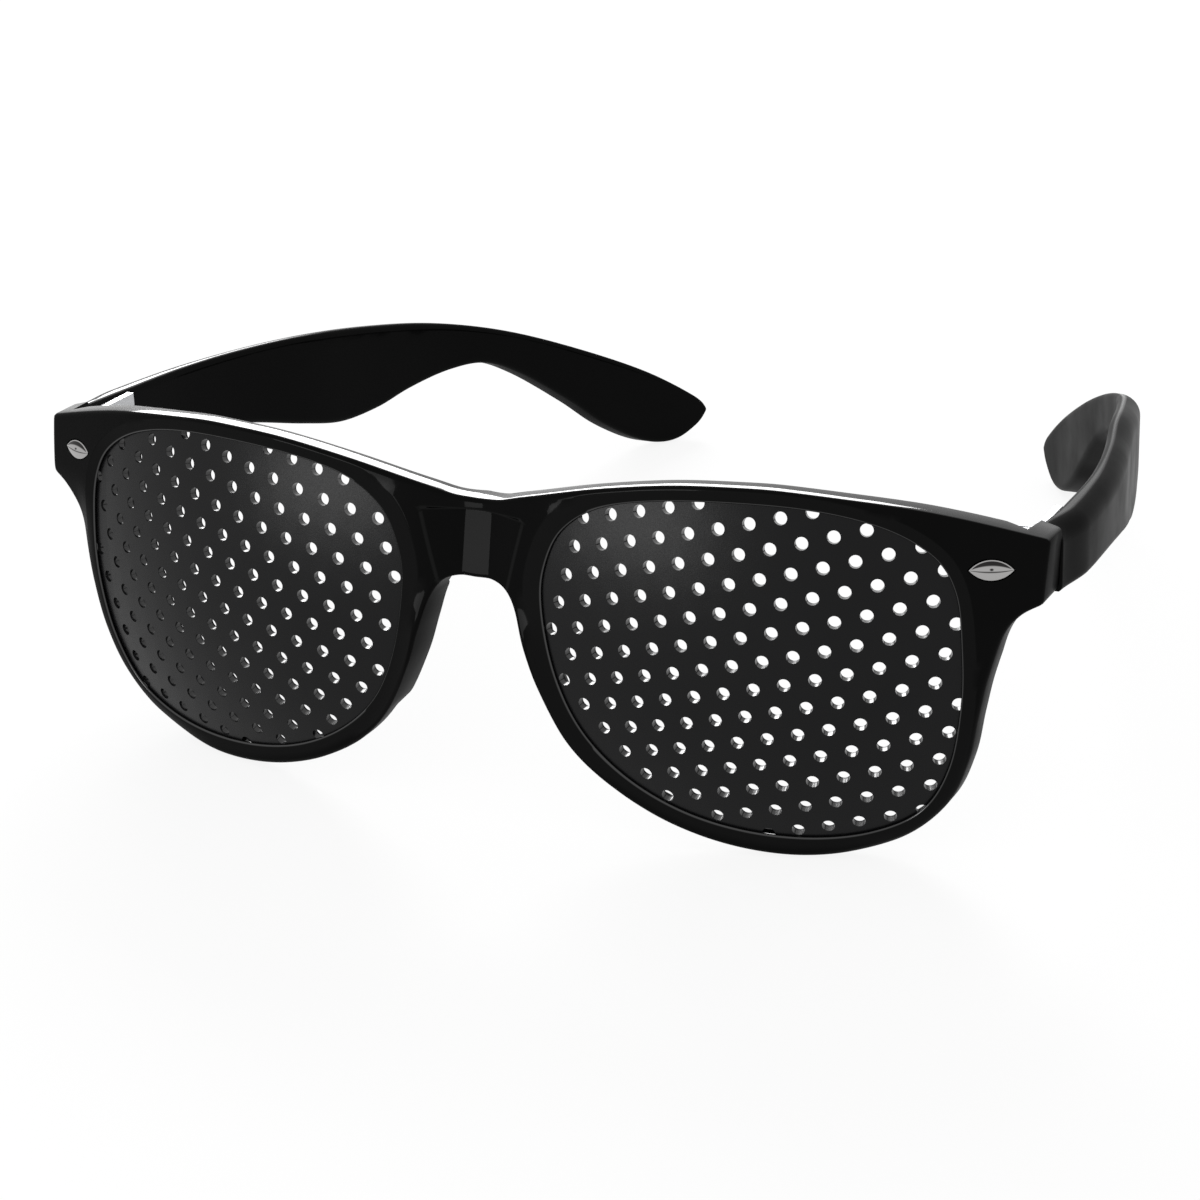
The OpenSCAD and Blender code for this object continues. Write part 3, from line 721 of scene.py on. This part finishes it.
# %% Heights and painted shade and reflection of an almond
def almond_painted_shade_and_reflection(u, v):
    """How much the chrome is darkened at a spot, 0 to 1: a painted dark reflection in the sunk upper
    field inside the rim, and painted shade in the crease a little below the middle and in the punch
    mark."""
    half_l, half_h = almond_half
    across = v / half_h / np.maximum(1 - (u / half_l) ** 2, 0.05)
    upper = ramp(across, 0.38, 0.52) * ramp(almond_inset(u, v), 0.1, 0.17)
    crease = ramp(np.abs(across + 0.16), 0.13, 0)
    punch = ramp(np.hypot(u, (v - 0.12) * 1.6), 0.32, 0.12)
    return np.maximum(np.maximum(upper, crease), punch)


def almond_points():
    """Rings of spots at shares of the outline's size, and the height of each spot: proud * inset^0.7
    less 0.06 mm where the painted shade and reflection lie."""
    edge_u, edge_v = almond_ring(*almond_half, 120)
    shares = 1 - np.linspace(0, 1, 41)[:-1] ** 1.2
    u, v = np.outer(shares, edge_u), np.outer(shares, edge_v)
    inset = almond_inset(u, np.sqrt(v**2 + 0.05**2)) / almond_half[1]
    return u, v, almond_proud * np.clip(inset, 0, 1) ** 0.7 - 0.06 * almond_painted_shade_and_reflection(u, v)


# %% Make the almonds
for sign, name in ((1, "left"), (-1, "right")):
    u, v, w = almond_points()
    top = u[..., None] * level + v[..., None] * upwards + w[..., None] * outwards
    foot = u[0][:, None] * level + v[0][:, None] * upwards - almond_sink * outwards
    crest = (w[-1].mean() * outwards)[None]
    points = np.vstack([foot, top.reshape(-1, 3), crest, -almond_sink * outwards[None]])
    points = (points + almond_middle) * [sign, 1, 1]
    size = u.shape[1]
    ring, last = np.arange(size), np.arange(size) + len(u) * size
    faces = []
    for k in range(len(u)):
        faces += ring_quads(ring + k * size, ring + (k + 1) * size)
    faces += np.stack([last, np.roll(last, -1), np.full(size, len(points) - 2)], 1).tolist()
    faces += np.stack([ring, np.full(size, len(points) - 1), (ring + 1) % size], 1).tolist()
    faces = [face[::-sign] for face in faces]
    almond = add_mesh(name + "_chromed_almond", points, faces, "front", 60)
    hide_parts(name + "_corner_plate")
    # Stored for the chrome's colour: a painted dark reflection on the upper field, painted shade in
    # the crease and the punch mark.
    painted_shade_and_reflection = np.concatenate([np.zeros(size), almond_painted_shade_and_reflection(u, v).ravel(), [1.0]])
    keep_values(almond, "painted_shade_and_reflection", painted_shade_and_reflection, 0.0)

# %% [markdown]
# ## Materials
# Every finish is made from nodes: a base that is right for the plastic or metal, and a
# pattern with the real size of its grain, ripple or scratches. An image could give the
# same grain, but it would show its edges or repeat, and noise doesn't.

# %% Helpers for materials
def from_hex(text):
    """sRGB hex to linear colour: c/12.92 below 0.04045, else ((c + 0.055)/1.055)^2.4."""
    c = np.array([int(text[i:i + 2], 16) for i in (1, 3, 5)]) / 255
    linear = np.where(c <= 0.04045, c / 12.92, ((c + 0.055) / 1.055) ** 2.4)
    return (*linear.tolist(), 1.0)


def add_node(tree, kind, settings=(), links=()):
    """Adds a node, sets its sockets or properties by name or number, and links sources."""
    node = tree.nodes.new(kind)
    for key, value in dict(settings).items():
        if isinstance(key, int) or key in node.inputs:
            node.inputs[key].default_value = value
        else:
            setattr(node, key, value)
    for key, source in dict(links).items():
        tree.links.new(source, node.inputs[key])
    return node


def new_material(name):
    """An empty node material with its tree, and its object coordinates in metres."""
    material = bpy.data.materials.new(name)
    material.use_nodes = True
    tree = material.node_tree
    tree.nodes.clear()
    place = add_node(tree, "ShaderNodeTexCoord").outputs["Object"]
    return material, tree, place


def add_noise(tree, place, size, detail, roughness=0.5):
    """Noise with features of a size in mm, on coordinates in metres: its scale is
    1000 / size."""
    settings = {"Scale": 1000 / size, "Detail": detail, "Roughness": roughness}
    return add_node(tree, "ShaderNodeTexNoise", settings, {"Vector": place}).outputs["Fac"]


def add_range(tree, value, low, high, to_low, to_high):
    """Carries values between low and high over to the second pair of limits."""
    settings = {"From Min": low, "From Max": high, "To Min": to_low, "To Max": to_high}
    return add_node(tree, "ShaderNodeMapRange", settings, {"Value": value}).outputs["Result"]


def add_tones(tree, factor, first, second):
    """A blend from one hex colour to another by a factor."""
    tones = add_node(tree, "ShaderNodeValToRGB", {}, {"Fac": factor})
    for element, text in zip(tones.color_ramp.elements, (first, second)):
        element.color = from_hex(text)
    return tones.outputs["Color"]


def add_bump(tree, height, strength, distance, links=()):
    """A bump whose full height is a distance in mm."""
    settings = {"Strength": strength, "Distance": distance / 1000}
    links = {"Height": height, **dict(links)}
    return add_node(tree, "ShaderNodeBump", settings, links).outputs["Normal"]


def add_math(tree, operation, first, numbers=()):
    """A maths node on one source; the other inputs are numbers."""
    settings = {"operation": operation, **dict(enumerate(numbers, 1))}
    return add_node(tree, "ShaderNodeMath", settings, {0: first}).outputs[0]


def finish_material(tree, shader):
    """Sends a shader to the material's output."""
    add_node(tree, "ShaderNodeOutputMaterial", {}, {"Surface": shader.outputs[0]})


# %% [markdown]
# ### Gloss black plastic
# The front and the temples are injection-moulded in black ABS in a polished steel mould.
# The eye gets a deep black with sharp reflections that ripple very slightly, because the
# skin shrinks a little as it cools, and faint haze where fingers have rubbed it. A plain
# glossy base mirrors the white room everywhere and turns grey, so the base barely shines,
# and a coat does the mirroring, as strong as each point's polish says.

# %% Gloss black ABS
gloss_abs, tree, place = new_material("black_abs_moulded_gloss")
haze = add_noise(tree, place, 11, 5.0)
coarse = add_bump(tree, add_noise(tree, place, 7, 1.5), 0.12, 0.4)
fine = add_bump(tree, add_noise(tree, place, 0.35, 3.0), 0.04, 0.02, {"Normal": coarse})
polish = add_node(tree, "ShaderNodeAttribute", {"attribute_name": "polish"})
shader = add_node(tree, "ShaderNodeBsdfPrincipled", {
    "IOR": 1.5, "Specular IOR Level": 0.01, "Coat IOR": 2.0, "Coat Roughness": 0.06,
}, {
    "Base Color": add_tones(tree, haze, "#020202", "#050505"),
    "Roughness": add_range(tree, haze, 0.35, 0.75, 0.3, 0.45),
    "Coat Weight": polish.outputs["Fac"], "Normal": fine, "Coat Normal": fine,
})
finish_material(tree, shader)

# %% [markdown]
# ### Satin black sheet
# The plates are punched from thin black sheet with an even satin grain, then pressed to
# their curve. The eye gets a soft grey sheen where light falls flat on them, a little
# lighter than the frame, with a fine sparkle from the grain. The punch burnishes the walls
# of the holes, so they mirror the light behind them. A second material on those faces
# would do, but the CAD piece is one mesh, so a rule finds them: a spot is on such a wall
# where it lies between the plate's two spheres. The back limit stands 0.25 mm in, because
# the plate runs straight near its outer end and its back face leaves the sphere there.

# %% Satin black sheet
satin_sheet, tree, place = new_material("black_sheet_punched_satin")
wall_back, wall_front = face_r - lip_t - plate_t + 0.25, face_r - lip_t - 0.05
wall_middle, wall_half = (wall_back + wall_front) / 2000, (wall_front - wall_back) / 2000
centre_x, centre_y, centre_z = on_table(face_centre).tolist()
x_of = add_node(tree, "ShaderNodeSeparateXYZ", {}, {0: place}).outputs["X"]
own_x = add_math(tree, "MULTIPLY", add_math(tree, "SIGN", x_of), [centre_x])
centre = add_node(tree, "ShaderNodeCombineXYZ", {"Y": centre_y, "Z": centre_z}, {"X": own_x})
out_by = add_node(tree, "ShaderNodeVectorMath", {"operation": "DISTANCE"},
                  {0: place, 1: centre.outputs[0]})
on_wall = add_math(tree, "COMPARE", out_by.outputs["Value"], [wall_middle, wall_half])
grain = add_noise(tree, place, 0.22, 4.0, 0.7)
shader = add_node(tree, "ShaderNodeBsdfPrincipled", {
    "IOR": 1.5, "Specular IOR Level": 0.15, "Coat IOR": 2.0, "Coat Roughness": 0.1,
}, {
    "Base Color": add_tones(tree, add_noise(tree, place, 14, 3.0), "#060607", "#0d0d0e"),
    "Roughness": add_range(tree, grain, 0.3, 0.7, 0.24, 0.33),
    "Coat Weight": add_math(tree, "MULTIPLY", on_wall, [0.3]),
    "Normal": add_bump(tree, grain, 0.25, 0.03),
})
finish_material(tree, shader)
print("walls of the holes lie", round(wall_back, 2), "to", round(wall_front, 2), "mm out")

# %% [markdown]
# ### Chrome and nickel
# The almonds are bright chrome over a polished stamping: nearly a mirror, with hair-fine wiping
# scratches. Their colour is darkened by a painted dark reflection on the sunk upper field and by
# painted shade in the crease and the punch mark. The hinge parts are nickel-plated steel, rolled and
# tumbled, so they are greyer and softer, with a faint grain along the sheet. Both are a metal with
# noise that a Mapping node stretches into fine lines.

# %% Chrome and nickel
def lined_metal(name, stretch, size, detail, rough_limits, bump_strength, bump_height):
    """A metal whose noise is squeezed along one axis: returns the material, its tree and
    the metal shader, still without a colour."""
    material, tree, place = new_material(name)
    way = add_node(tree, "ShaderNodeMapping", {"Scale": stretch}, {"Vector": place})
    lines = add_noise(tree, way.outputs["Vector"], size, detail)
    shader = add_node(tree, "ShaderNodeBsdfPrincipled", {"Metallic": 1.0}, {
        "Roughness": add_range(tree, lines, 0.3, 0.7, *rough_limits),
        "Normal": add_bump(tree, lines, bump_strength, bump_height),
    })
    finish_material(tree, shader)
    return material, tree, shader


chrome, tree, shader = lined_metal(
    "chrome_on_polished_stamping", (1.0, 1.0, 9.0), 0.9, 4.0, (0.05, 0.16), 0.08, 0.02)
# The chrome's colour darkens by the stored amount: a painted dark reflection on the upper field,
# painted shade in the crease and the punch mark.
painted_shade_and_reflection = add_node(tree, "ShaderNodeAttribute", {"attribute_name": "painted_shade_and_reflection"})
tree.links.new(add_tones(tree, painted_shade_and_reflection.outputs["Fac"], "#a3a2a1", "#2b2a2a"),
               shader.inputs["Base Color"])

nickel, tree, shader = lined_metal(
    "nickel_plated_steel_tumbled", (6.0, 1.0, 1.0), 0.5, 5.0, (0.22, 0.38), 0.2, 0.03)
shader.inputs["Base Color"].default_value = from_hex("#b8b9bb")
print("finishes:", [material.name for material in (gloss_abs, satin_sheet, chrome, nickel)])

# %% [markdown]
# ### The finishes on the pieces
# The plates are satin, the hinges and all screws nickel, the almonds chrome and the rest
# black plastic. Each piece could be given its finish by hand, but the names already say
# what a piece is, so a rule on the names does it.

# %% Put the finishes on
def dress(piece, material):
    """Gives every material slot of a piece the same finish."""
    if not piece.material_slots:
        piece.data.materials.append(material)
    for place_for_material in piece.material_slots:
        place_for_material.material = material


for name, piece in frame["nodes"].items():
    if "plate" in name and "corner" not in name:
        dress(piece, satin_sheet)
    elif "hinge" in name or "screw" in name:
        dress(piece, nickel)
    else:
        dress(piece, chrome if "corner" in name else gloss_abs)
for piece in bpy.data.objects:
    if "moulded" in piece.name:
        dress(piece, gloss_abs)
    elif "almond" in piece.name:
        dress(piece, chrome)

# %% [markdown]
# ## The studio
# The glasses lie on a white sheet in a white room. A wide soft light hangs above and
# behind them. It draws the white line along the tops of the rims and temples, and it is
# rolled about its middle, so that the top of the rim on the wearer's right mirrors more of
# it than the other. A smaller and weaker light stands in front, on the wearer's right, and
# adds a faint sheen. Where the camera or a reflection looks at the sheet it is mostly
# plain white, and the rest of it still takes a faint shadow.

# %% Floor and world
floor_half, floor_z, paper_white = 3, -0.0003, (0.95, 0.95, 0.95, 1)
seen_white, room_light = 0.88, 0.75


def white_where_seen(tree):
    """1 for a ray from the camera, from a glossy surface or through a clear one."""
    path = add_node(tree, "ShaderNodeLightPath")
    total = path.outputs["Is Camera Ray"]
    for kind in ("Is Glossy Ray", "Is Transmission Ray"):
        total = add_node(tree, "ShaderNodeMath", {"operation": "MAXIMUM"},
                         {0: total, 1: path.outputs[kind]}).outputs[0]
    return total


def add_mix(tree, factor, first, second):
    """A blend of two shaders by a factor."""
    return add_node(tree, "ShaderNodeMixShader", {},
                    {0: factor, 1: first.outputs[0], 2: second.outputs[0]})


floor_mesh = bpy.data.meshes.new("white_sheet")
turns = ((-1, -1), (1, -1), (1, 1), (-1, 1))
corners = [(x * floor_half, y * floor_half, floor_z) for x, y in turns]
floor_mesh.from_pydata(corners, [], [(0, 1, 2, 3)])
floor = bpy.data.objects.new("white_sheet", floor_mesh)
bpy.context.scene.collection.objects.link(floor)
white_sheet, tree, place = new_material("white_sheet_paper")
paper = add_node(tree, "ShaderNodeBsdfDiffuse", {"Color": paper_white})
white = add_node(tree, "ShaderNodeEmission", {"Strength": 1.0})
share = add_math(tree, "MULTIPLY", white_where_seen(tree), [seen_white])
finish_material(tree, add_mix(tree, share, paper, white))
dress(floor, white_sheet)

world = bpy.data.worlds.new("white_room")
bpy.context.scene.world = world
world.use_nodes = True
tree = world.node_tree
tree.nodes.clear()
room = add_node(tree, "ShaderNodeBackground", {"Color": (1, 1, 1, 1), "Strength": room_light})
white = add_node(tree, "ShaderNodeBackground", {"Color": (1, 1, 1, 1), "Strength": 1.0})
mix = add_mix(tree, white_where_seen(tree), room, white)
add_node(tree, "ShaderNodeOutputWorld", {}, {"Surface": mix.outputs[0]})


# %% Lamps
def soft_light(name, at, towards, size, watts, roll=0):
    """A rectangular softbox at a place in metres, turned to face another place and then
    rolled about its own middle by an angle in degrees."""
    data = bpy.data.lights.new(name, "AREA")
    data.shape = "RECTANGLE"
    data.size, data.size_y = size
    data.energy = watts
    print(name, "radiance", round(watts / (math.pi * size[0] * size[1]), 2))
    lamp = bpy.data.objects.new(name, data)
    bpy.context.scene.collection.objects.link(lamp)
    line = np.array(at) - np.array(towards)
    z = line / np.linalg.norm(line)
    x = np.cross([0, 0, 1], z)
    x /= np.linalg.norm(x)
    y = np.cross(z, x)
    c, s = math.cos(math.radians(roll)), math.sin(math.radians(roll))
    x, y = c * x + s * y, c * y - s * x
    lamp.matrix_world = Matrix([[x[i], y[i], z[i], at[i]] for i in range(3)] + [[0, 0, 0, 1]])


soft_light("rear_softbox", (-0.586, 0.958, 0.635), (-0.066, -0.092, 0.165), (0.95, 0.42), 17.0, -40)
soft_light("front_left_softbox", (-0.42, -0.95, 0.12), (0, 0, 0.03), (0.46, 0.3), 2.6)
bpy.context.scene.view_settings.view_transform = "Standard"
